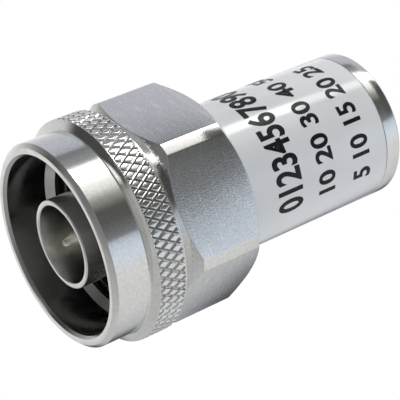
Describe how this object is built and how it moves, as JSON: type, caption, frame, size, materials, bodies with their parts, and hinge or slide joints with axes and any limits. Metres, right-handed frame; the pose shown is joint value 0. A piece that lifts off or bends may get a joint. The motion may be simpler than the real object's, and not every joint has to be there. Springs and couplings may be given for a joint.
{
  "type": "coaxial termination",
  "caption": "One-port coaxial dummy load: a threaded plug with a free-turning hexagon and knurled coupling nut, a centre pin, and a closed cylindrical housing with a wrap label.",
  "frame": {"origin": "centre of the tail's rear face, on the connector axis; the part stands on this face", "axes": "+Z along the connector axis from the closed tail to the open plug; +X through a corner of the nut's hexagon at rest"},
  "size_m": [0.0202, 0.0202, 0.033],
  "materials": {
    "bright_plating": "white bronze plated brass, bright",
    "plated_body": "white bronze plated brass, turned",
    "silver_pin": "silver plated, bright",
    "spring_bronze": "spring bronze, satin",
    "liner_brass": "bare turned brass",
    "insulator": "white fluoropolymer, waxy",
    "seal_rubber": "dark silicone rubber",
    "ceramic_rod": "resistive film on ceramic",
    "tinned_caps": "tinned",
    "label_film": "glossy white film"
  },
  "bodies": {
    "plug": {"nut_snap_ring": "spring_bronze", "plug_body": "plated_body", "face_gasket": "seal_rubber", "centre_pin": "silver_pin", "support_bead": "insulator", "resistor_front_cap": "tinned_caps", "resistor_rod": "ceramic_rod", "resistor_rear_cap": "tinned_caps", "taper_liner": "liner_brass", "ground_contact": "spring_bronze", "housing": "plated_body", "housing_seal_ring": "seal_rubber", "rear_plug": "plated_body", "plug_seal_ring": "seal_rubber", "wrap_label": "label_film"},
    "nut": {"coupling_nut": "bright_plating"}
  },
  "joints": [
    {"name": "nut_spin", "type": "hinge", "parent": "plug", "child": "nut", "pos_m": [0, 0, 0.0214], "axis": [0, 0, 1], "continuous": true}
  ]
}
